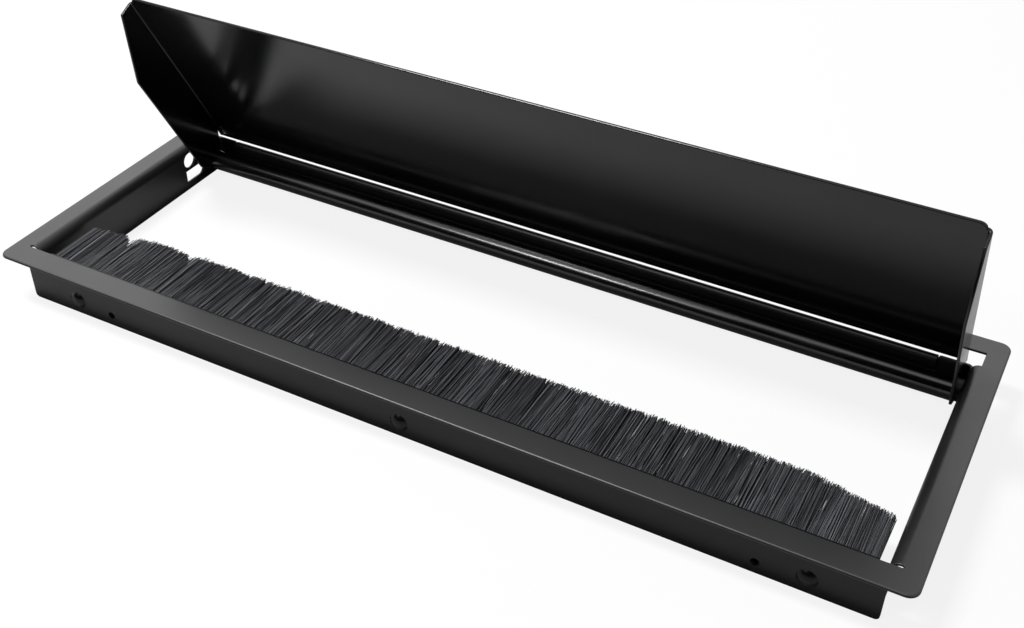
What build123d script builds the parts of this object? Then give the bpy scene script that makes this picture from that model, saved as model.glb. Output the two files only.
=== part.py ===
"""Desk cable grommet: a folded steel frame, a brush along its front and a lid hinged at its back.

Millimetres, +Z up, X along the length, Y from the brush to the hinge.
The origin is on the surface that the frame stands on, under the centre of the rim.
The lid is modelled open, as it stands in use.
"""

from build123d import *
import os
from math import acos, atan2, cos, hypot, radians, sin

# Sheet steel
sheet = 1.2
edge_break = 0.5

# Rim and frame
rim_length = 400.0
rim_depth = 148.0
rim_corner_radius = 4.5
frame_height = 22.5
front_rim_width = 11.3
rear_rim_width = 10.2
side_rim_width = 12.5
side_bend_radius = 3.0
corner_slit = 1.2
slit_overrun = 0.6

# Rear corner tabs and the rail between them
tab_to_rear_edge = 14.3
tab_reach = 12.5
tab_bend_radius = 1.0
tab_corner_radius = 1.0
rail_hook_depth = 3.6
rail_hook_drop = 5.0
rail_bend_radius = 0.7
rail_nose_radius = 0.3
rail_to_tab = 0.2
rail_end_gap = 2.0
rail_below_tab = 0.2

# Openings pressed out of the side walls, ahead of the pivot
round_window_diameter = 7.6
round_window_ahead = 15.2
round_window_rise = 5.6
slot_window_length = 12.2
slot_window_height = 5.9
slot_window_ahead = 12.35
slot_window_drop = 2.55

# Front apron
apron_setback = 6.0
apron_end_inset = 10.5
apron_corner_radius = 1.8
apron_bend_radius = 1.0
apron_leg_end = 0.5
apron_leg_clear = 2.5
screw_hole_diameter = 3.4
screw_from_holder_end = 39.0
screw_below_rim = 17.3

# Brush
rivet_from_holder_end = 20.5
rivet_below_rim = 15.7
holder_end_gap = 3.5
holder_web = 2.0
holder_jaw = 1.2
holder_height = 16.3
holder_reach = 7.8
holder_below_leg = 1.0
bristle_pack = 3.6
bristle_length = 35.8
bristle_end_shortfall = 7.0
bristle_end_zone = 34.0
tuft_width = 2.7
tuft_gap = 0.4
tuft_scatter = 0.9
tuft_scatter_turn = 137.5

# Rivets
shank_diameter = 4.0
head_diameter = 8.0
head_height = 1.7
tail_diameter = 6.0
tail_height = 1.4

# Hinge
pivot_to_rear_edge = 21.3
pivot_below_rim = 13.0
tube_diameter = 10.4
tube_bore = 6.5
bush_clearance = 0.05
pin_clearance = 0.1
bush_flange_diameter = 9.6
bush_running_gap = 0.3
bush_sleeve_length = 10.0
pin_reach = 9.0
pin_head_diameter = 7.0
pin_head_height = 1.2

# Lid
lid_open_angle = 62.3
lid_depth = 102.7
lid_recess = 0.3
lid_ahead_of_pivot = 4.7
lid_corner_radius = 3.0
lid_bend_radius = 0.8
cheek_gap = 1.9
cheek_depth = 20.8
cheek_nose = 7.1
cheek_taper = 31.0
cheek_front_setback = 3.0
cheek_rear_setback = 5.5

# Places worked out from the sizes above
wall_in_x = rim_length / 2 - side_rim_width
wall_out_x = wall_in_x + sheet
front_edge_y = -rim_depth / 2 + front_rim_width
rear_edge_y = rim_depth / 2 - rear_rim_width
rim_under_z = frame_height - sheet
bend_start_x = wall_out_x + side_bend_radius
wall_top_z = rim_under_z - side_bend_radius
wall_front_y = front_edge_y + corner_slit
tab_rear_y = rim_depth / 2 - tab_to_rear_edge
tab_front_y = tab_rear_y - sheet
tab_fold_x = wall_in_x - tab_bend_radius
wall_rear_y = tab_front_y - tab_bend_radius
bend_rear_y = wall_rear_y - 2 * corner_slit
pivot_y = rim_depth / 2 - pivot_to_rear_edge
pivot_z = frame_height - pivot_below_rim
apron_front_y = -rim_depth / 2 + apron_setback
apron_back_y = apron_front_y + sheet
leg_under_z = rim_under_z - sheet
apron_end_x = rim_length / 2 - apron_end_inset
holder_end_x = wall_in_x - holder_end_gap
rivet_x = holder_end_x - rivet_from_holder_end
screw_x = holder_end_x - screw_from_holder_end
rivet_z = frame_height - rivet_below_rim
screw_z = frame_height - screw_below_rim
root_y = apron_back_y + holder_web
mouth_y = apron_back_y + holder_reach
cheek_out_x = wall_in_x - cheek_gap
cheek_in_x = cheek_out_x - sheet
SIDES = {"left": -1, "right": 1}


def strip(low, high):
    """Draws a rectangle from one corner to the opposite one, in the sketch being built."""
    with Locations(((low[0] + high[0]) / 2, (low[1] + high[1]) / 2)):
        Rectangle(abs(high[0] - low[0]), abs(high[1] - low[1]))


def fold(centre, inner_radius, start_angle):
    """Draws the section of the sheet bent through a right angle, in the sketch being built."""
    with BuildLine() as section:
        outside = CenterArc(centre, inner_radius + sheet, start_angle, 90)
        inside = CenterArc(centre, inner_radius, start_angle, 90)
        Line(outside @ 0, inside @ 0)
        Line(outside @ 1, inside @ 1)
    make_face(section.edges())


def grazing_point(radius, point, turn):
    """The place where a line from a point grazes a circle about the origin, on the side of the turn."""
    angle = atan2(point[1], point[0]) + turn * acos(radius / hypot(*point))
    return (radius * cos(angle), radius * sin(angle))


# Frame: the rim and its two side walls, folded from one sheet, with a tab at the rear end of each wall
with BuildPart() as frame:
    with BuildSketch(Plane.XY.offset(rim_under_z)):
        RectangleRounded(rim_length, rim_depth, rim_corner_radius)
        with Locations((0, (front_edge_y + rear_edge_y) / 2)):
            Rectangle(2 * bend_start_x, rear_edge_y - front_edge_y, mode=Mode.SUBTRACT)
        with Locations((0, front_edge_y + corner_slit / 2)):
            SlotOverall(2 * (bend_start_x + slit_overrun), corner_slit, mode=Mode.SUBTRACT)
    extrude(amount=sheet)
    with BuildSketch(Plane.XZ.offset(-wall_front_y)):
        fold((bend_start_x, wall_top_z), side_bend_radius, 90)
        fold((-bend_start_x, wall_top_z), side_bend_radius, 0)
    extrude(amount=wall_front_y - bend_rear_y)
    with BuildSketch():
        for side, start_angle in ((1, 0), (-1, 90)):
            tab_bend_x = side * tab_fold_x
            strip((side * wall_in_x, wall_front_y), (side * wall_out_x, wall_rear_y))
            fold((tab_bend_x, wall_rear_y), tab_bend_radius, start_angle)
            strip((side * (wall_in_x - tab_reach), tab_front_y), (tab_bend_x, tab_rear_y))
    extrude(amount=wall_top_z)
    tab_ends = frame.edges().filter_by(Axis.Y).filter_by_position(Axis.X, -tab_fold_x, tab_fold_x)
    fillet(tab_ends.group_by(Axis.Z)[-1], tab_corner_radius)
    with BuildSketch(Plane.YZ):
        slot_y = pivot_y - slot_window_ahead
        slot_z = pivot_z - slot_window_drop
        with Locations((slot_y, slot_z)):
            SlotOverall(slot_window_length, slot_window_height)
        with Locations((slot_y - slot_window_length / 4, slot_z)):
            Rectangle(slot_window_length / 2, slot_window_height)
        with Locations((pivot_y - round_window_ahead, pivot_z + round_window_rise)):
            Circle(round_window_diameter / 2)
        with Locations((pivot_y, pivot_z)):
            Circle(shank_diameter / 2)
    extrude(amount=rim_length, both=True, mode=Mode.SUBTRACT)
    rim_face = frame.faces().filter_by(Axis.Z).sort_by(Axis.Z)[-1]
    chamfer(rim_face.outer_wire().edges(), edge_break)
frame.part.label = "frame"

# Front apron: an angle welded under the front of the rim, which carries the brush
with BuildPart() as front_apron:
    apron_bend_y = apron_back_y + apron_bend_radius
    apron_bend_z = leg_under_z - apron_bend_radius
    with BuildSketch(Plane.YZ):
        strip((apron_front_y, 0), (apron_back_y, apron_bend_z))
        fold((apron_bend_y, apron_bend_z), apron_bend_radius, 90)
        strip((apron_bend_y, leg_under_z), (front_edge_y - apron_leg_end, rim_under_z))
    extrude(amount=apron_end_x, both=True)
    with BuildSketch(Plane.XZ):
        strip((-apron_end_x, 0), (apron_end_x, rim_under_z))
        fillet(vertices().group_by(Axis.Y)[0], apron_corner_radius)
        with Locations((0, screw_z)), GridLocations(2 * screw_x, 0, 2, 1):
            Circle(screw_hole_diameter / 2, mode=Mode.SUBTRACT)
        with Locations((0, rivet_z)), GridLocations(rivet_x, 0, 3, 1):
            Circle(shank_diameter / 2, mode=Mode.SUBTRACT)
    extrude(amount=rim_depth, both=True, mode=Mode.INTERSECT)
    with BuildSketch(Plane.XY.offset(apron_bend_z)):
        for side in SIDES.values():
            leg_end_x = side * (wall_in_x - apron_leg_clear)
            strip((leg_end_x, apron_front_y), (side * apron_end_x, front_edge_y))
    extrude(amount=rim_under_z - apron_bend_z, mode=Mode.SUBTRACT)
front_apron.part.label = "front_apron"

# Rear rail: a strip welded across the two tabs, its top edge hooked forward over the hinge tube
with BuildPart() as rear_rail:
    rail_top_z = wall_top_z - rail_below_tab
    rail_back_y = tab_rear_y + sheet
    hook_front_y = rail_back_y - rail_hook_depth
    hook_bend_z = rail_top_z - sheet - rail_bend_radius
    hook_rear_y = tab_rear_y - rail_bend_radius
    hook_nose_y = hook_front_y + sheet + rail_nose_radius
    hook_nose_z = rail_top_z - sheet - rail_nose_radius
    with BuildSketch(Plane.YZ):
        strip((tab_rear_y, 0), (rail_back_y, hook_bend_z))
    extrude(amount=wall_in_x - rail_end_gap, both=True)
    with BuildSketch(Plane.YZ):
        fold((hook_rear_y, hook_bend_z), rail_bend_radius, 0)
        strip((hook_nose_y, rail_top_z - sheet), (hook_rear_y, rail_top_z))
        fold((hook_nose_y, hook_nose_z), rail_nose_radius, 90)
        strip((hook_front_y, rail_top_z - rail_hook_drop), (hook_front_y + sheet, hook_nose_z))
    extrude(amount=wall_in_x - tab_reach - rail_to_tab, both=True)
rear_rail.part.label = "rear_rail"

# Brush holder: an extruded strip behind the apron, with two jaws that grip the bristles
with BuildPart() as brush_holder:
    holder_top_z = leg_under_z - holder_below_leg
    upper_jaw_z = holder_top_z - holder_jaw
    lower_jaw_z = upper_jaw_z - bristle_pack
    with BuildSketch(Plane.YZ):
        strip((apron_back_y, holder_top_z - holder_height), (root_y, holder_top_z))
        strip((root_y, upper_jaw_z), (mouth_y, holder_top_z))
        strip((root_y, lower_jaw_z - holder_jaw), (mouth_y, lower_jaw_z))
    extrude(amount=holder_end_x, both=True)
    with BuildSketch(Plane.XZ):
        with Locations((0, screw_z)), GridLocations(2 * screw_x, 0, 2, 1):
            Circle(screw_hole_diameter / 2)
        with Locations((0, rivet_z)), GridLocations(rivet_x, 0, 3, 1):
            Circle(shank_diameter / 2)
    extrude(amount=rim_depth, both=True, mode=Mode.SUBTRACT)
brush_holder.part.label = "brush_holder"

# Bristles: a row of tufts held in the jaws, shorter towards both ends
tuft_pitch = tuft_width + tuft_gap
tuft_count = int(2 * holder_end_x / tuft_pitch)
comb = [
    (holder_end_x, mouth_y),
    (holder_end_x, root_y),
    (-holder_end_x, root_y),
    (-holder_end_x, mouth_y),
]
for index in range(tuft_count):
    tuft_x = (index - (tuft_count - 1) / 2) * tuft_pitch
    end_share = max(0, 1 - (holder_end_x - abs(tuft_x)) / bristle_end_zone)
    scatter = tuft_scatter * sin(radians(index * tuft_scatter_turn))
    tip_y = root_y + bristle_length - bristle_end_shortfall * end_share + scatter
    tuft_low_x = tuft_x - tuft_width / 2
    tuft_high_x = tuft_x + tuft_width / 2
    comb += [(tuft_low_x, mouth_y), (tuft_low_x, tip_y), (tuft_high_x, tip_y), (tuft_high_x, mouth_y)]
with BuildPart() as bristles:
    with BuildSketch(Plane.XY.offset(lower_jaw_z)):
        with BuildLine():
            Polyline(*comb, close=True)
        make_face()
    extrude(amount=bristle_pack)
bristles.part.label = "bristles"

# Lid: one folded sheet, a panel with a cheek down each end, swung open about the pivot
hinge = Plane(
    origin=(0, pivot_y, pivot_z),
    x_dir=(1, 0, 0),
    z_dir=(0, sin(radians(lid_open_angle)), cos(radians(lid_open_angle))),
)
lid_side = Plane(origin=hinge.origin, x_dir=hinge.y_dir, z_dir=hinge.x_dir)
lid_end = Plane(origin=hinge.origin, x_dir=hinge.x_dir, z_dir=-hinge.y_dir)
with BuildPart() as lid:
    panel_z = pivot_below_rim - lid_recess - sheet
    panel_rear = -lid_ahead_of_pivot
    panel_front = panel_rear - lid_depth
    crease_x = cheek_in_x - lid_bend_radius
    crease_z = panel_z - lid_bend_radius
    cheek_front = panel_front + cheek_front_setback
    cheek_rear = panel_rear - cheek_rear_setback
    with BuildSketch(hinge.offset(panel_z)):
        strip((-crease_x, panel_front), (crease_x, panel_rear))
        fillet(vertices().group_by(Axis.Y)[0], lid_corner_radius)
    extrude(amount=sheet)
    with BuildSketch(lid_end.offset(-panel_rear)):
        fold((crease_x, crease_z), lid_bend_radius, 0)
        fold((-crease_x, crease_z), lid_bend_radius, 90)
    extrude(amount=panel_rear - cheek_front)
    for side in SIDES.values():
        with BuildSketch(lid_side.offset(side * cheek_in_x)):
            ear_radius = tube_diameter / 2
            heel = (panel_rear, panel_z - cheek_depth)
            nape = (cheek_rear, crease_z)
            with BuildLine():
                lower = Polyline(
                    nape,
                    (cheek_front, crease_z),
                    (cheek_front, panel_z - cheek_nose),
                    (cheek_front + cheek_taper, panel_z - cheek_depth),
                    heel,
                    grazing_point(ear_radius, heel, 1),
                )
                ear = ThreePointArc(lower @ 1, (ear_radius, 0), grazing_point(ear_radius, nape, -1))
                Line(ear @ 1, nape)
            make_face()
            Circle(tube_bore / 2, mode=Mode.SUBTRACT)
        extrude(amount=side * sheet)
lid.part.label = "lid"

# Hinge tube: it ties the two cheeks together along the pivot
with BuildPart() as hinge_tube:
    with BuildSketch(Plane.YZ):
        with Locations((pivot_y, pivot_z)):
            Circle(tube_diameter / 2)
            Circle(tube_bore / 2, mode=Mode.SUBTRACT)
    extrude(amount=cheek_in_x, both=True)
hinge_tube.part.label = "hinge_tube"

nodes = [frame, front_apron, rear_rail, brush_holder, bristles, lid, hinge_tube]

# Pivots: a flanged bush in each end of the tube, turning on a pin riveted into the side wall
for name, side in SIDES.items():
    with BuildPart() as pivot_bush:
        with BuildSketch(lid_side.offset(side * cheek_out_x)):
            Circle(bush_flange_diameter / 2)
        extrude(amount=side * (cheek_gap - bush_running_gap))
        with BuildSketch(lid_side.offset(side * cheek_out_x)):
            Circle(tube_bore / 2 - bush_clearance)
        extrude(amount=-side * bush_sleeve_length)
        with BuildSketch(lid_side):
            Circle(shank_diameter / 2 + pin_clearance)
        extrude(amount=side * wall_in_x, mode=Mode.SUBTRACT)
    pivot_bush.part.label = f"pivot_bush_{name}"
    with BuildPart() as pivot_pin:
        with BuildSketch(lid_side.offset(side * wall_out_x)):
            Circle(pin_head_diameter / 2)
        extrude(amount=side * pin_head_height)
        with BuildSketch(lid_side.offset(side * wall_out_x)):
            Circle(shank_diameter / 2)
        extrude(amount=-side * (sheet + pin_reach))
    pivot_pin.part.label = f"pivot_pin_{name}"
    nodes += [pivot_bush, pivot_pin]

# Brush rivets: three through the apron and the holder, their tails closed behind
for name, step in (("left", -1), ("middle", 0), ("right", 1)):
    seat = (step * rivet_x, apron_front_y, rivet_z)
    with BuildPart() as brush_rivet:
        with BuildSketch(Plane(origin=seat)):
            grip = sheet + holder_web
            with BuildLine():
                dome = TangentArc((0, -head_height), (head_diameter / 2, 0), tangent=(1, 0))
                Polyline(dome @ 1, (0, 0), dome @ 0)
            make_face()
            strip((0, 0), (shank_diameter / 2, grip))
            strip((0, grip), (tail_diameter / 2, grip + tail_height))
        revolve(axis=Axis(seat, (0, 1, 0)))
    brush_rivet.part.label = f"brush_rivet_{name}"
    nodes += [brush_rivet]

os.makedirs("parts", exist_ok=True)
for node in nodes:
    export_step(node.part, f"parts/{node.part.label}.step")
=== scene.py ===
"""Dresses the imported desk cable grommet: powder-coated steel, a nylon brush and a white studio."""
import math

import bpy
from mathutils import Matrix, Vector


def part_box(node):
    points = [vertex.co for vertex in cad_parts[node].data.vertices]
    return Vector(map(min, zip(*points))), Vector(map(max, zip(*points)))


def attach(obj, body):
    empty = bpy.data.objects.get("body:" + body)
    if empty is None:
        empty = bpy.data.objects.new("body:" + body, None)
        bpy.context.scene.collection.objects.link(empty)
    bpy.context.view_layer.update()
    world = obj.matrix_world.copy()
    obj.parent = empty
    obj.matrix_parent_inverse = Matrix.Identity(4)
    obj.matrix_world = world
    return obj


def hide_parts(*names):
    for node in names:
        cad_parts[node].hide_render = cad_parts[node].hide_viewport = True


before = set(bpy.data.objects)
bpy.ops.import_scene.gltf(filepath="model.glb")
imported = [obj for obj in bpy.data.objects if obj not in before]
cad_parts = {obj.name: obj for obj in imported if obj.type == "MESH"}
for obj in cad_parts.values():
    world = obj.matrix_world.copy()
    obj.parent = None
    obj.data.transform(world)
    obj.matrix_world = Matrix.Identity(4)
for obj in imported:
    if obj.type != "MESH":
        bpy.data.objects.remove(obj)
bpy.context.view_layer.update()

BRUSH_LOW, BRUSH_HIGH = (Vector(corner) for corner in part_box("bristles"))

# The depth that a material's bump stands for, in metres.
BUMP_HEIGHT = 0.0001

# A filament is drawn with few faces, because the row has thousands of them.
STRAND_STEPS = 5
STRAND_SIDES = 3

bl_info = {
    "name": "Desk cable grommet",
    "version": (1, 0, 0),
    "blender": (4, 5, 0),
    "location": "3D View > Sidebar > Grommet",
    "description": "Coats the steel, plants the brush and sets the studio of a desk cable grommet",
    "category": "Object",
}


def linear(hex_colour):
    """An sRGB hex colour as linear red, green, blue and alpha."""
    channels = [int(hex_colour[i:i + 2], 16) / 255 for i in (1, 3, 5)]
    return [c / 12.92 if c <= 0.04045 else ((c + 0.055) / 1.055) ** 2.4 for c in channels] + [1.0]


def add_node(tree, kind, inputs=None, **settings):
    """Adds a node with its settings, and sets or links each input given by name or number."""
    node = tree.nodes.new(kind)
    for name, value in settings.items():
        setattr(node, name, value)
    for key, value in (inputs or {}).items():
        if isinstance(value, bpy.types.NodeSocket):
            tree.links.new(value, node.inputs[key])
        else:
            node.inputs[key].default_value = value
    return node


def new_material(name):
    """An empty node material."""
    material = bpy.data.materials.new(name)
    material.use_nodes = True
    material.node_tree.nodes.clear()
    return material


def per_metre(size_mm):
    """The texture scale at which one cell of a pattern is that many millimetres wide."""
    return 1000 / size_mm


# What the settings of one kind have in common.
COLOUR = {"subtype": "COLOR", "size": 4, "min": 0, "max": 1}
LENGTH = {"subtype": "DISTANCE", "unit": "LENGTH"}
POWER = {"subtype": "POWER", "unit": "POWER"}
SHARE = {"subtype": "FACTOR", "min": 0, "max": 1}


class CoatSettings(bpy.types.PropertyGroup):
    """The powder coat on the steel."""
    frame_colour: bpy.props.FloatVectorProperty(
        name="Frame colour", description="Colour of the powder coat on the frame",
        default=linear("#1b1b1c"), **COLOUR)
    lid_colour: bpy.props.FloatVectorProperty(
        name="Lid colour", description="Colour of the powder coat on the lid and its hinge tube",
        default=linear("#0b0b0c"), **COLOUR)
    frame_roughness: bpy.props.FloatProperty(
        name="Frame roughness", description="How matt the coat on the frame is", default=0.38, **SHARE)
    lid_roughness: bpy.props.FloatProperty(
        name="Lid roughness", description="How matt the coat on the lid is", default=0.15, **SHARE)
    tube_roughness: bpy.props.FloatProperty(
        name="Tube roughness", description="How matt the coat on the hinge tube is", default=0.21, **SHARE)
    peel_mm: bpy.props.FloatProperty(
        name="Peel", description="Width of the dimples in the coat, in millimetres", min=0.1, default=1.3)
    edge_round: bpy.props.FloatProperty(
        name="Edge round", description="How far the coat rounds the cut edges of the sheet",
        min=0, default=0.00034, **LENGTH)


class BrushSettings(bpy.types.PropertyGroup):
    """The row of bristles."""
    strands: bpy.props.IntProperty(
        name="Strands", description="Number of filaments in the row", min=100, default=7200)
    strand_radius: bpy.props.FloatProperty(
        name="Strand radius", description="Half the thickness of a filament",
        min=0, default=0.00017, **LENGTH)
    left_shortfall: bpy.props.FloatProperty(
        name="Left shortfall", description="How much shorter the filaments are at the left end of the row",
        default=0.0045, **LENGTH)
    right_shortfall: bpy.props.FloatProperty(
        name="Right shortfall", description="How much shorter the filaments are at the right end of the row",
        default=0.0068, **LENGTH)
    end_zone: bpy.props.FloatProperty(
        name="End zone", description="Length of the row's end over which the filaments get shorter",
        min=0.001, default=0.034, **LENGTH)
    tuft_pitch: bpy.props.FloatProperty(
        name="Tuft pitch", description="Width of the tufts of filaments that lean together",
        min=0.0001, default=0.0031, **LENGTH)
    lean: bpy.props.FloatProperty(
        name="Lean", description="How far the tufts lean to either side", subtype="ANGLE", unit="ROTATION",
        default=math.radians(2.0))
    scatter: bpy.props.FloatProperty(
        name="Scatter", description="How uneven the tips are", default=0.00035, **LENGTH)
    notch_depth: bpy.props.FloatProperty(
        name="Notch depth", description="Depth of the worn notches in the row of tips",
        min=0, default=0.0058, **LENGTH)
    notch_width: bpy.props.FloatProperty(
        name="Notch width", description="Half the width of a worn notch",
        min=0.0001, default=0.0022, **LENGTH)
    notches: bpy.props.FloatVectorProperty(
        name="Notches", description="Places of the two worn notches along the row",
        subtype="XYZ", unit="LENGTH", size=2, default=(-0.1627, -0.1308))
    colour: bpy.props.FloatVectorProperty(
        name="Brush colour", description="Colour of the nylon filaments",
        default=linear("#5d5e63"), **COLOUR)
    seed: bpy.props.IntProperty(
        name="Seed", description="Which arrangement of filaments is drawn", default=7)


class StageSettings(bpy.types.PropertyGroup):
    """The studio."""
    floor_colour: bpy.props.FloatVectorProperty(
        name="Floor colour", description="Colour of the studio floor as the camera sees it",
        default=linear("#ffffff"), **COLOUR)
    bounce_colour: bpy.props.FloatVectorProperty(
        name="Bounce colour", description="Colour of the floor as the object sees it",
        default=linear("#c8c8c8"), **COLOUR)
    key_power: bpy.props.FloatProperty(
        name="Key power", description="Power of the soft light behind on the left", default=5.2, **POWER)
    back_power: bpy.props.FloatProperty(
        name="Back power", description="Power of the soft light behind the lid", default=3.4, **POWER)
    top_power: bpy.props.FloatProperty(
        name="Top power", description="Power of the soft light overhead", default=29, **POWER)
    front_power: bpy.props.FloatProperty(
        name="Front power", description="Power of the small light in front, which draws the glints",
        default=3.0, **POWER)
    ambient: bpy.props.FloatProperty(
        name="Ambient", description="Level of the light from all round", default=0.08, **SHARE)


def powder_coat(name, colour, roughness, specular, peel_mm, peel_depth):
    """Black polyester powder coat, baked on steel: an even sheen with faint dimples and a little dust."""
    # Real dimples are about half a millimetre wide; they are drawn wider so that they show in the render.
    cloud_mm, dust_mm = 38.0, 7.0
    roughness_spread = 0.04
    material = new_material(name)
    tree = material.node_tree
    place = add_node(tree, "ShaderNodeTexCoord").outputs["Object"]
    peel = add_node(tree, "ShaderNodeTexNoise", {
        "Vector": place, "Scale": per_metre(peel_mm), "Detail": 2.0})
    cloud = add_node(tree, "ShaderNodeTexNoise", {
        "Vector": place, "Scale": per_metre(cloud_mm), "Detail": 3.0})
    dust = add_node(tree, "ShaderNodeTexVoronoi", {"Vector": place, "Scale": per_metre(dust_mm)})
    speck = add_node(tree, "ShaderNodeMapRange", {
        "Value": dust.outputs["Distance"], "From Min": 0.03, "From Max": 0.05,
        "To Min": 0.10, "To Max": 0.0})
    tint = add_node(tree, "ShaderNodeMix", {
        0: speck.outputs["Result"], 6: colour, 7: linear("#6d6d70")}, data_type="RGBA")
    matt = add_node(tree, "ShaderNodeMapRange", {
        "Value": cloud.outputs["Fac"], "From Min": 0.3, "From Max": 0.7,
        "To Min": roughness - roughness_spread, "To Max": roughness + roughness_spread})
    bump = add_node(tree, "ShaderNodeBump", {
        "Height": peel.outputs["Fac"], "Strength": peel_depth, "Distance": BUMP_HEIGHT})
    shader = add_node(tree, "ShaderNodeBsdfPrincipled", {
        "Base Color": tint.outputs[2], "Roughness": matt.outputs["Result"],
        "Specular IOR Level": specular, "IOR": 1.5, "Normal": bump.outputs["Normal"]})
    add_node(tree, "ShaderNodeOutputMaterial", {"Surface": shader.outputs["BSDF"]})
    return material


def blackened_steel():
    """Cold-headed steel, blackened and oiled: dark and smoother than the coat, with a small glint."""
    patch_mm = 2.5
    material = new_material("Blackened rivet steel")
    tree = material.node_tree
    place = add_node(tree, "ShaderNodeTexCoord").outputs["Object"]
    worn = add_node(tree, "ShaderNodeTexNoise", {
        "Vector": place, "Scale": per_metre(patch_mm), "Detail": 4.0})
    matt = add_node(tree, "ShaderNodeMapRange", {
        "Value": worn.outputs["Fac"], "From Min": 0.3, "From Max": 0.7, "To Min": 0.24, "To Max": 0.32})
    bump = add_node(tree, "ShaderNodeBump", {
        "Height": worn.outputs["Fac"], "Strength": 0.1, "Distance": BUMP_HEIGHT})
    shader = add_node(tree, "ShaderNodeBsdfPrincipled", {
        "Base Color": linear("#0a0a0b"), "Roughness": matt.outputs["Result"], "Specular IOR Level": 0.3,
        "Normal": bump.outputs["Normal"]})
    add_node(tree, "ShaderNodeOutputMaterial", {"Surface": shader.outputs["BSDF"]})
    return material


def anodised_aluminium():
    """Extruded aluminium, dyed black: dark metal with fine lines along the extrusion."""
    line_mm = 0.5
    along_row = (0.01, 1.0, 1.0)
    material = new_material("Black anodised aluminium")
    tree = material.node_tree
    place = add_node(tree, "ShaderNodeTexCoord").outputs["Object"]
    along = add_node(tree, "ShaderNodeMapping", {"Vector": place, "Scale": along_row})
    lines = add_node(tree, "ShaderNodeTexNoise", {
        "Vector": along.outputs["Vector"], "Scale": per_metre(line_mm), "Detail": 2.0})
    matt = add_node(tree, "ShaderNodeMapRange", {
        "Value": lines.outputs["Fac"], "From Min": 0.3, "From Max": 0.7, "To Min": 0.3, "To Max": 0.45})
    shader = add_node(tree, "ShaderNodeBsdfPrincipled", {
        "Base Color": linear("#232325"), "Metallic": 1.0, "Roughness": matt.outputs["Result"]})
    add_node(tree, "ShaderNodeOutputMaterial", {"Surface": shader.outputs["BSDF"]})
    return material


def moulded_nylon():
    """Injection-moulded black nylon: dull, slightly waxy, with a fine grain."""
    grain_mm = 0.6
    material = new_material("Moulded black nylon")
    tree = material.node_tree
    place = add_node(tree, "ShaderNodeTexCoord").outputs["Object"]
    grain = add_node(tree, "ShaderNodeTexNoise", {
        "Vector": place, "Scale": per_metre(grain_mm), "Detail": 2.0})
    bump = add_node(tree, "ShaderNodeBump", {
        "Height": grain.outputs["Fac"], "Strength": 0.1, "Distance": BUMP_HEIGHT})
    shader = add_node(tree, "ShaderNodeBsdfPrincipled", {
        "Base Color": linear("#151516"), "Roughness": 0.5, "Normal": bump.outputs["Normal"]})
    add_node(tree, "ShaderNodeOutputMaterial", {"Surface": shader.outputs["BSDF"]})
    return material


def nylon_filament(colour):
    """Drawn nylon, dyed black: each strand has a slightly different grey and shines along its length."""
    middle_shade = 0.7
    material = new_material("Black nylon filament")
    tree = material.node_tree
    shade = add_node(tree, "ShaderNodeAttribute", attribute_name="shade").outputs["Fac"]
    ramp = add_node(tree, "ShaderNodeValToRGB", {"Fac": shade})
    ramp.color_ramp.elements[0].color = linear("#1c1c1f")
    ramp.color_ramp.elements[1].color = linear("#7c7d83")
    middle = ramp.color_ramp.elements.new(middle_shade)
    middle.color = colour
    shader = add_node(tree, "ShaderNodeBsdfPrincipled", {
        "Base Color": ramp.outputs["Color"], "Roughness": 0.34, "IOR": 1.53, "Specular IOR Level": 0.5})
    add_node(tree, "ShaderNodeOutputMaterial", {"Surface": shader.outputs["BSDF"]})
    return material


def studio_floor(colour, bounce_colour):
    """Seamless white studio floor: white to the eye, with the soft shadow left in."""
    # The camera sees most of the floor as plain white. Reflections see the lit floor and a trace of that.
    seen_share, mirrored_share = 0.86, 0.006
    material = new_material("Studio floor")
    tree = material.node_tree
    light_path = add_node(tree, "ShaderNodeLightPath").outputs
    mirrored = add_node(tree, "ShaderNodeMath", {
        0: light_path["Is Glossy Ray"], 1: light_path["Is Transmission Ray"]}, operation="MAXIMUM")
    mirrored = add_node(tree, "ShaderNodeMath", {
        0: mirrored.outputs[0], 1: mirrored_share}, operation="MULTIPLY")
    seen = add_node(tree, "ShaderNodeMath", {
        0: light_path["Is Camera Ray"], 1: seen_share}, operation="MULTIPLY")
    share = add_node(tree, "ShaderNodeMath", {
        0: seen.outputs[0], 1: mirrored.outputs[0]}, operation="MAXIMUM")
    tone = add_node(tree, "ShaderNodeMix", {
        0: light_path["Is Camera Ray"], 6: bounce_colour, 7: colour}, data_type="RGBA")
    matt = add_node(tree, "ShaderNodeBsdfDiffuse", {"Color": tone.outputs[2]})
    glow = add_node(tree, "ShaderNodeEmission", {"Color": colour, "Strength": 1.0})
    mixed = add_node(tree, "ShaderNodeMixShader", {
        0: share.outputs[0], 1: matt.outputs[0], 2: glow.outputs[0]})
    add_node(tree, "ShaderNodeOutputMaterial", {"Surface": mixed.outputs[0]})
    return material


def dark_cloth():
    """Black studio cloth behind the camera: it keeps the front of the room dark in the reflections."""
    material = new_material("Dark drape")
    tree = material.node_tree
    matt = add_node(tree, "ShaderNodeBsdfDiffuse", {"Color": linear("#0c0c0c")})
    add_node(tree, "ShaderNodeOutputMaterial", {"Surface": matt.outputs[0]})
    return material


def paint(nodes, material):
    """Gives the named CAD nodes one material."""
    for name in nodes:
        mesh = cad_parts[name].data
        mesh.materials.clear()
        mesh.materials.append(material)


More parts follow.
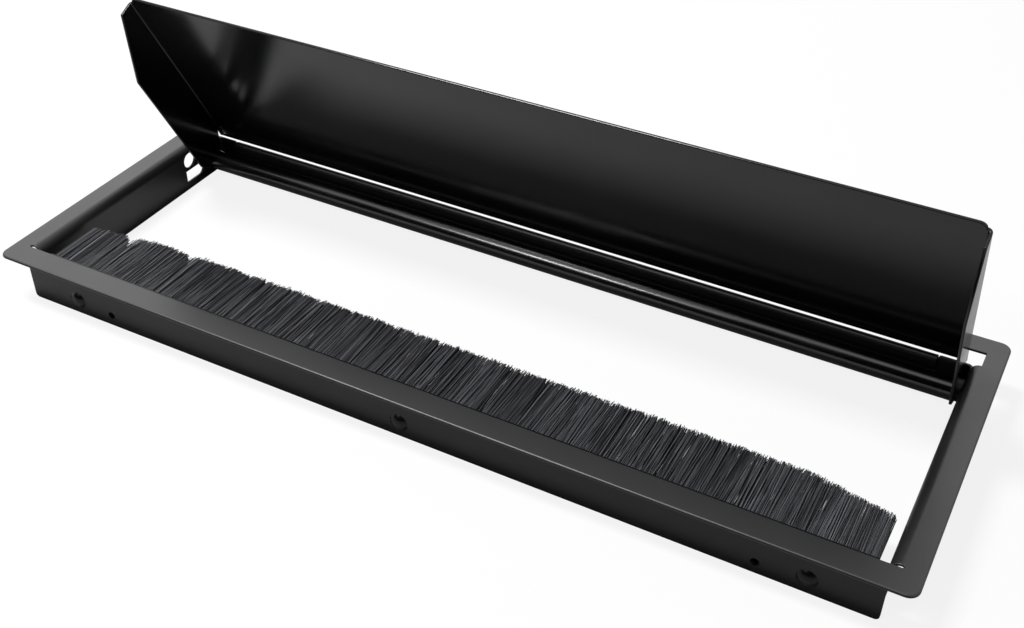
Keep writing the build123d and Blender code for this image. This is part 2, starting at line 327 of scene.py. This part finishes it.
def soften(nodes, radius):
    """Rounds the cut edges of sheet pieces, as the coat does, by modifiers on the CAD nodes."""
    for name in nodes:
        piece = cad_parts[name]
        # The triangles become whole flat faces first, which gives the rounding room.
        weld = piece.modifiers.new("Join triangles", "WELD")
        weld.merge_threshold = 0.000002
        faces = piece.modifiers.new("Join flat faces", "DECIMATE")
        faces.decimate_type = "DISSOLVE"
        faces.angle_limit = math.radians(1)
        edges = piece.modifiers.new("Coated edges", "BEVEL")
        edges.width = radius
        edges.segments = 3
        edges.limit_method = "ANGLE"
        edges.angle_limit = math.radians(32)
        edges.use_clamp_overlap = False
        flats = piece.modifiers.new("Flat faces", "WEIGHTED_NORMAL")
        flats.weight = 100


def brush_tree():
    """Geometry Nodes that plant a dense row of filaments in tufts, shorter and straighter at the ends."""
    tree = bpy.data.node_groups.new("Bristle row", "GeometryNodeTree")
    identifiers = {}
    for name, kind in (
        ("Strands", "Int"), ("Half Span", "Float"), ("Root Y", "Float"), ("Low Z", "Float"),
        ("Pack", "Float"), ("Strand Radius", "Float"), ("Length", "Float"), ("Left Shortfall", "Float"),
        ("Right Shortfall", "Float"), ("End Zone", "Float"), ("Tuft Pitch", "Float"), ("Lean", "Float"),
        ("Scatter", "Float"), ("Notch Width", "Float"), ("Notch Depth", "Float"), ("Left Notch", "Float"),
        ("Right Notch", "Float"), ("Seed", "Int"), ("Material", "Material"),
    ):
        identifiers[name] = tree.interface.new_socket(
            name, in_out="INPUT", socket_type=f"NodeSocket{kind}").identifier
    tree.interface.new_socket("Geometry", in_out="OUTPUT", socket_type="NodeSocketGeometry")
    known = {socket.name: socket for socket in add_node(tree, "NodeGroupInput").outputs}
    known["index"] = add_node(tree, "GeometryNodeInputIndex").outputs[0]

    # The tree's arithmetic, in rows: the result's name, the operation, and the names or numbers that go in.
    # "CHANCE" draws a number between the first two for each different third, by the seed and the fourth.
    for name, operation, *given in (
        ("jitter", "CHANCE", 0.0, 1.0, "index", 1),
        ("order", "ADD", "index", "jitter"),
        ("share", "DIVIDE", "order", "Strands"),
        ("signed share", "MULTIPLY_ADD", "share", 2.0, -1.0),
        ("x", "MULTIPLY", "signed share", "Half Span"),
        ("layer", "CHANCE", 0.06, 0.94, "index", 2),
        ("z", "MULTIPLY_ADD", "layer", "Pack", "Low Z"),
        # Tufts of one layer lie over the gaps of the next, so that the row is not see-through.
        ("tuft shift", "MULTIPLY", "layer", 2.4),
        ("tuft place", "DIVIDE", "x", "Tuft Pitch"),
        ("tuft order", "ADD", "tuft place", "tuft shift"),
        ("tuft", "FLOOR", "tuft order"),
        ("off centre", "ABSOLUTE", "x"),
        ("to end", "SUBTRACT", "Half Span", "off centre"),
        ("into middle", "DIVIDE", "to end", "End Zone"),
        ("not end", "MINIMUM", "into middle", 1.0),
        ("end share", "SUBTRACT", 1.0, "not end"),
        ("on right", "GREATER_THAN", "x", 0.0),
        ("shortfall range", "SUBTRACT", "Right Shortfall", "Left Shortfall"),
        ("shortfall", "MULTIPLY_ADD", "on right", "shortfall range", "Left Shortfall"),
        ("end cut", "MULTIPLY", "end share", "shortfall"),
        ("end length", "SUBTRACT", "Length", "end cut"),
        ("tuft unevenness", "CHANCE", -1.0, 1.0, "tuft", 3),
        ("tuft length", "MULTIPLY_ADD", "tuft unevenness", "Scatter", "end length"),
        ("unevenness", "CHANCE", -1.2, 0.7, "index", 4),
        ("ragged length", "MULTIPLY_ADD", "unevenness", "Scatter", "tuft length"),
        ("from left notch", "SUBTRACT", "x", "Left Notch"),
        ("from right notch", "SUBTRACT", "x", "Right Notch"),
        ("left notch steps", "DIVIDE", "from left notch", "Notch Width"),
        ("right notch steps", "DIVIDE", "from right notch", "Notch Width"),
        ("left notch square", "MULTIPLY", "left notch steps", "left notch steps"),
        ("right notch square", "MULTIPLY", "right notch steps", "right notch steps"),
        ("left notch falloff", "MULTIPLY", "left notch square", -1.0),
        ("right notch falloff", "MULTIPLY", "right notch square", -1.0),
        ("left notch share", "EXPONENT", "left notch falloff"),
        ("right notch share", "EXPONENT", "right notch falloff"),
        ("notch share", "ADD", "left notch share", "right notch share"),
        ("notch cut", "MULTIPLY", "notch share", "Notch Depth"),
        ("length", "SUBTRACT", "ragged length", "notch cut"),
        ("tuft lean", "CHANCE", -1.0, 1.0, "tuft", 5),
        ("strand lean", "CHANCE", -0.9, 0.9, "index", 6),
        ("lean share", "ADD", "tuft lean", "strand lean"),
        ("layer lean", "MULTIPLY", "lean share", "layer"),
        # The outermost filaments stand straight, so that the cheeks of the closing lid clear them.
        ("stiff share", "POWER", "end share", 4.0),
        ("free share", "SUBTRACT", 1.0, "stiff share"),
        ("free lean", "MULTIPLY", "layer lean", "free share"),
        ("turn", "MULTIPLY", "free lean", "Lean"),
        ("nod", "CHANCE", -0.022, 0.022, "index", 7),
        ("roll", "CHANCE", 0.0, math.tau, "index", 8),
        ("strand shade", "CHANCE", 0.0, 0.75, "index", 9),
        ("tuft shade", "CHANCE", 0.0, 0.25, "tuft", 10),
        ("shade", "ADD", "strand shade", "tuft shade"),
    ):
        if operation == "CHANCE":
            low, high, key, draw = given
            seed = add_node(tree, "ShaderNodeMath", {0: known["Seed"], 1: draw}, operation="ADD")
            drawn = add_node(tree, "FunctionNodeRandomValue", {
                2: low, 3: high, 7: known[key], 8: seed.outputs[0]}, data_type="FLOAT")
            known[name] = drawn.outputs[1]
        else:
            inputs = {place: known.get(entry, entry) for place, entry in enumerate(given)}
            known[name] = add_node(tree, "ShaderNodeMath", inputs, operation=operation).outputs[0]

    root = add_node(tree, "ShaderNodeCombineXYZ", {0: known["x"], 1: known["Root Y"], 2: known["z"]})
    points = add_node(tree, "GeometryNodePoints", {"Count": known["Strands"], "Position": root.outputs[0]})
    core = add_node(tree, "GeometryNodeCurvePrimitiveLine", {"Start": (0, 0, 0), "End": (0, 1, 0)})
    core = add_node(tree, "GeometryNodeResampleCurve", {"Curve": core.outputs[0], "Count": STRAND_STEPS})
    ring = add_node(tree, "GeometryNodeCurvePrimitiveCircle", {"Resolution": STRAND_SIDES, "Radius": 1.0})
    tube = add_node(tree, "GeometryNodeCurveToMesh", {
        "Curve": core.outputs[0], "Profile Curve": ring.outputs[0], "Fill Caps": True})
    along = add_node(tree, "GeometryNodeInputPosition").outputs[0]
    reach = add_node(tree, "ShaderNodeSeparateXYZ", {0: along})
    bow = add_node(tree, "ShaderNodeMath", {0: reach.outputs[1], 1: 2.0}, operation="POWER")
    bow = add_node(tree, "ShaderNodeCombineXYZ", {0: bow.outputs[0]})
    strand = add_node(tree, "GeometryNodeSetPosition", {
        "Geometry": tube.outputs[0], "Offset": bow.outputs[0]})
    turn = add_node(tree, "ShaderNodeCombineXYZ", {0: known["nod"], 1: known["roll"], 2: known["turn"]})
    girth = add_node(tree, "ShaderNodeCombineXYZ", {
        0: known["Strand Radius"], 1: known["length"], 2: known["Strand Radius"]})
    row = add_node(tree, "GeometryNodeInstanceOnPoints", {
        "Points": points.outputs[0], "Instance": strand.outputs[0], "Rotation": turn.outputs[0],
        "Scale": girth.outputs[0]})
    toned = add_node(tree, "GeometryNodeStoreNamedAttribute", {
        "Geometry": row.outputs[0], "Name": "shade", "Value": known["shade"]},
        data_type="FLOAT", domain="INSTANCE")
    solid = add_node(tree, "GeometryNodeRealizeInstances", {0: toned.outputs[0]})
    smooth = add_node(tree, "GeometryNodeSetShadeSmooth", {0: solid.outputs[0]})
    finished = add_node(tree, "GeometryNodeSetMaterial", {
        "Geometry": smooth.outputs[0], "Material": known["Material"]})
    add_node(tree, "NodeGroupOutput", {0: finished.outputs[0]})
    return tree, identifiers


def grown_mesh(name, tree, identifiers, values):
    """The plain mesh that a Geometry Nodes tree makes with these inputs."""
    seedbed = bpy.data.objects.new(name, bpy.data.meshes.new(name))
    bpy.context.scene.collection.objects.link(seedbed)
    modifier = seedbed.modifiers.new(name, "NODES")
    modifier.node_group = tree
    for socket, value in values.items():
        modifier[identifiers[socket]] = value
    ready = seedbed.evaluated_get(bpy.context.evaluated_depsgraph_get())
    mesh = bpy.data.meshes.new_from_object(ready)
    seedbed.modifiers.remove(modifier)
    seedbed.data = mesh
    return seedbed


def flat_sheet(name, corners, material):
    """One flat four-cornered sheet of the stage."""
    mesh = bpy.data.meshes.new(name)
    mesh.from_pydata(corners, [], [(0, 1, 2, 3)])
    mesh.materials.append(material)
    sheet = bpy.data.objects.new(name, mesh)
    bpy.context.scene.collection.objects.link(sheet)
    return sheet


def hang_lamps(stage):
    """The soft lights round the object, out of the camera's sight."""
    middle = (0, 0, 0.03)
    left_of_middle = (-0.65, 0, 0.03)
    for name, power, place, aim, width, height in (
        ("Key softbox", stage.key_power, (-1.25, 1.05, 0.95), middle, 1.1, 1.0),
        ("Back softbox", stage.back_power, (0.1, 1.6, 1.2), middle, 1.3, 0.8),
        ("Top softbox", stage.top_power, (-0.65, -0.18, 1.64), left_of_middle, 0.6, 0.29),
        ("Front strip", stage.front_power, (-0.5, -0.93, 0.94), middle, 0.22, 0.1),
    ):
        lamp = bpy.data.lights.new(name, "AREA")
        lamp.shape = "RECTANGLE"
        lamp.size = width
        lamp.size_y = height
        lamp.energy = power
        lamp_object = bpy.data.objects.new(name, lamp)
        lamp_object.location = place
        lamp_object.rotation_euler = (Vector(aim) - Vector(place)).to_track_quat("-Z", "Y").to_euler()
        lamp_object.visible_camera = False
        bpy.context.scene.collection.objects.link(lamp_object)


def studio_world(ambient):
    """White to the eye and in reflections, with a low level of light on everything else."""
    world = bpy.data.worlds.new("Studio")
    world.use_nodes = True
    tree = world.node_tree
    tree.nodes.clear()
    light_path = add_node(tree, "ShaderNodeLightPath").outputs
    seen = add_node(tree, "ShaderNodeMath", {
        0: light_path["Is Camera Ray"], 1: light_path["Is Glossy Ray"]}, operation="MAXIMUM")
    seen = add_node(tree, "ShaderNodeMath", {
        0: seen.outputs[0], 1: light_path["Is Transmission Ray"]}, operation="MAXIMUM")
    level = add_node(tree, "ShaderNodeMapRange", {
        "Value": seen.outputs[0], "To Min": ambient, "To Max": 1.0})
    sky = add_node(tree, "ShaderNodeBackground", {
        "Color": linear("#ffffff"), "Strength": level.outputs[0]})
    add_node(tree, "ShaderNodeOutputWorld", {"Surface": sky.outputs[0]})
    return world


def studio_camera():
    """A camera at the photograph's viewing angle, as fitted to the rim, the lid and the apron."""
    place = (0.2145, -0.37886, 0.34696)
    right = Vector((0.8804, 0.4743, 0.0071))
    up = Vector((-0.2931, 0.5321, 0.7944))
    back = right.cross(up)
    camera = bpy.data.cameras.new("Camera")
    camera.sensor_fit = "HORIZONTAL"
    camera.sensor_width = 36.0
    camera.lens = 45.93
    camera_object = bpy.data.objects.new("Camera", camera)
    turn = Matrix((right, up, back)).transposed().to_4x4()
    camera_object.matrix_world = Matrix.Translation(place) @ turn
    bpy.context.scene.collection.objects.link(camera_object)
    return camera_object


class GROMMET_OT_coat_frame(bpy.types.Operator):
    """Coat the frame, its apron and its rail, and blacken the rivets and pins"""
    bl_idname = "grommet.coat_frame"
    bl_label = "Coat the frame"

    def execute(self, context):
        coat = context.scene.grommet_coat
        paint(["frame", "rear_rail"], powder_coat(
            "Satin black powder coat", coat.frame_colour, coat.frame_roughness, specular=0.54,
            peel_mm=coat.peel_mm, peel_depth=0.12))
        soften(["frame", "rear_rail"], coat.edge_round)
        # The apron stays sharp: a bevel leaves dark seams between the holes in its long face.
        # The apron's coat is the frame's coat with a weaker reflection. This is painted shade: it stands in
        # for the shaded floor just in front, which the apron reflects.
        paint(["front_apron"], powder_coat(
            "Shaded copy of the satin black powder coat", coat.frame_colour, coat.frame_roughness, specular=0.34,
            peel_mm=coat.peel_mm, peel_depth=0.12))
        rivets = ["brush_rivet_left", "brush_rivet_middle", "brush_rivet_right"]
        pins = ["pivot_pin_left", "pivot_pin_right"]
        paint(rivets + pins, blackened_steel())
        return {"FINISHED"}


class GROMMET_OT_coat_lid(bpy.types.Operator):
    """Coat the lid and its hinge tube, and colour the bushes"""
    bl_idname = "grommet.coat_lid"
    bl_label = "Coat the lid"

    def execute(self, context):
        coat = context.scene.grommet_coat
        paint(["lid"], powder_coat(
            "Semi-gloss black powder coat", coat.lid_colour, coat.lid_roughness, specular=0.35,
            peel_mm=coat.peel_mm, peel_depth=0.04))
        soften(["lid"], coat.edge_round)
        paint(["hinge_tube"], powder_coat(
            "Gloss black coated tube", coat.lid_colour, coat.tube_roughness, specular=1.0,
            peel_mm=coat.peel_mm, peel_depth=0.04))
        paint(["pivot_bush_left", "pivot_bush_right"], moulded_nylon())
        return {"FINISHED"}


class GROMMET_OT_plant_brush(bpy.types.Operator):
    """Plant the bristles in their holder"""
    bl_idname = "grommet.plant_brush"
    bl_label = "Plant the brush"

    def execute(self, context):
        brush = context.scene.grommet_brush
        paint(["brush_holder"], anodised_aluminium())
        tree, identifiers = brush_tree()
        row = grown_mesh("bristle_row", tree, identifiers, {
            "Strands": brush.strands,
            "Half Span": BRUSH_HIGH.x - 2 * brush.strand_radius,
            "Root Y": BRUSH_LOW.y,
            "Low Z": BRUSH_LOW.z,
            "Pack": BRUSH_HIGH.z - BRUSH_LOW.z,
            "Strand Radius": brush.strand_radius,
            "Length": BRUSH_HIGH.y - BRUSH_LOW.y - brush.scatter,
            "Left Shortfall": brush.left_shortfall,
            "Right Shortfall": brush.right_shortfall,
            "End Zone": brush.end_zone,
            "Tuft Pitch": brush.tuft_pitch,
            "Lean": brush.lean,
            "Scatter": brush.scatter,
            "Notch Width": brush.notch_width,
            "Notch Depth": brush.notch_depth,
            "Left Notch": brush.notches[0],
            "Right Notch": brush.notches[1],
            "Seed": brush.seed,
            "Material": nylon_filament(brush.colour)})
        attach(row, "frame")
        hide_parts("bristles")
        return {"FINISHED"}


class GROMMET_OT_set_stage(bpy.types.Operator):
    """Set the floor, the lights and the camera"""
    bl_idname = "grommet.set_stage"
    bl_label = "Set the stage"

    def execute(self, context):
        scene = context.scene
        stage = scene.grommet_stage
        reach = 6.0
        floor = flat_sheet(
            "Studio floor", [(-reach, -reach, 0), (reach, -reach, 0), (reach, reach, 0), (-reach, reach, 0)],
            studio_floor(stage.floor_colour, stage.bounce_colour))

        side, front, top = 1.8, -1.1, 1.25
        drape = flat_sheet(
            "Dark drape", [(-side, front, 0), (side, front, 0), (side, front, top), (-side, front, top)],
            dark_cloth())
        drape.visible_camera = False
        drape.visible_shadow = False

        hang_lamps(stage)
        scene.world = studio_world(stage.ambient)
        scene.camera = studio_camera()
        scene.view_settings.view_transform = "Standard"
        return {"FINISHED"}


OPERATORS = (GROMMET_OT_coat_frame, GROMMET_OT_coat_lid, GROMMET_OT_plant_brush, GROMMET_OT_set_stage)


class GROMMET_PT_panel(bpy.types.Panel):
    """Lists the steps that dress the grommet"""
    bl_idname = "GROMMET_PT_panel"
    bl_label = "Desk cable grommet"
    bl_space_type = "VIEW_3D"
    bl_region_type = "UI"
    bl_category = "Grommet"

    def draw(self, context):
        for operator in OPERATORS:
            self.layout.operator(operator.bl_idname)
        scene = context.scene
        for settings in (scene.grommet_coat, scene.grommet_brush, scene.grommet_stage):
            box = self.layout.box()
            for name in settings.__annotations__:
                box.prop(settings, name)


CLASSES = (CoatSettings, BrushSettings, StageSettings, *OPERATORS, GROMMET_PT_panel)


def register():
    """Registers the classes and hangs the settings on the scene."""
    for cls in CLASSES:
        bpy.utils.register_class(cls)
    bpy.types.Scene.grommet_coat = bpy.props.PointerProperty(type=CoatSettings)
    bpy.types.Scene.grommet_brush = bpy.props.PointerProperty(type=BrushSettings)
    bpy.types.Scene.grommet_stage = bpy.props.PointerProperty(type=StageSettings)


def unregister():
    """Takes the settings and the classes away again."""
    del bpy.types.Scene.grommet_stage
    del bpy.types.Scene.grommet_brush
    del bpy.types.Scene.grommet_coat
    for cls in reversed(CLASSES):
        bpy.utils.unregister_class(cls)


def main():
    """Registers the classes, then dresses the part."""
    register()
    bpy.ops.grommet.coat_frame()
    bpy.ops.grommet.coat_lid()
    bpy.ops.grommet.plant_brush()
    bpy.ops.grommet.set_stage()


if __name__ == "__main__":
    main()
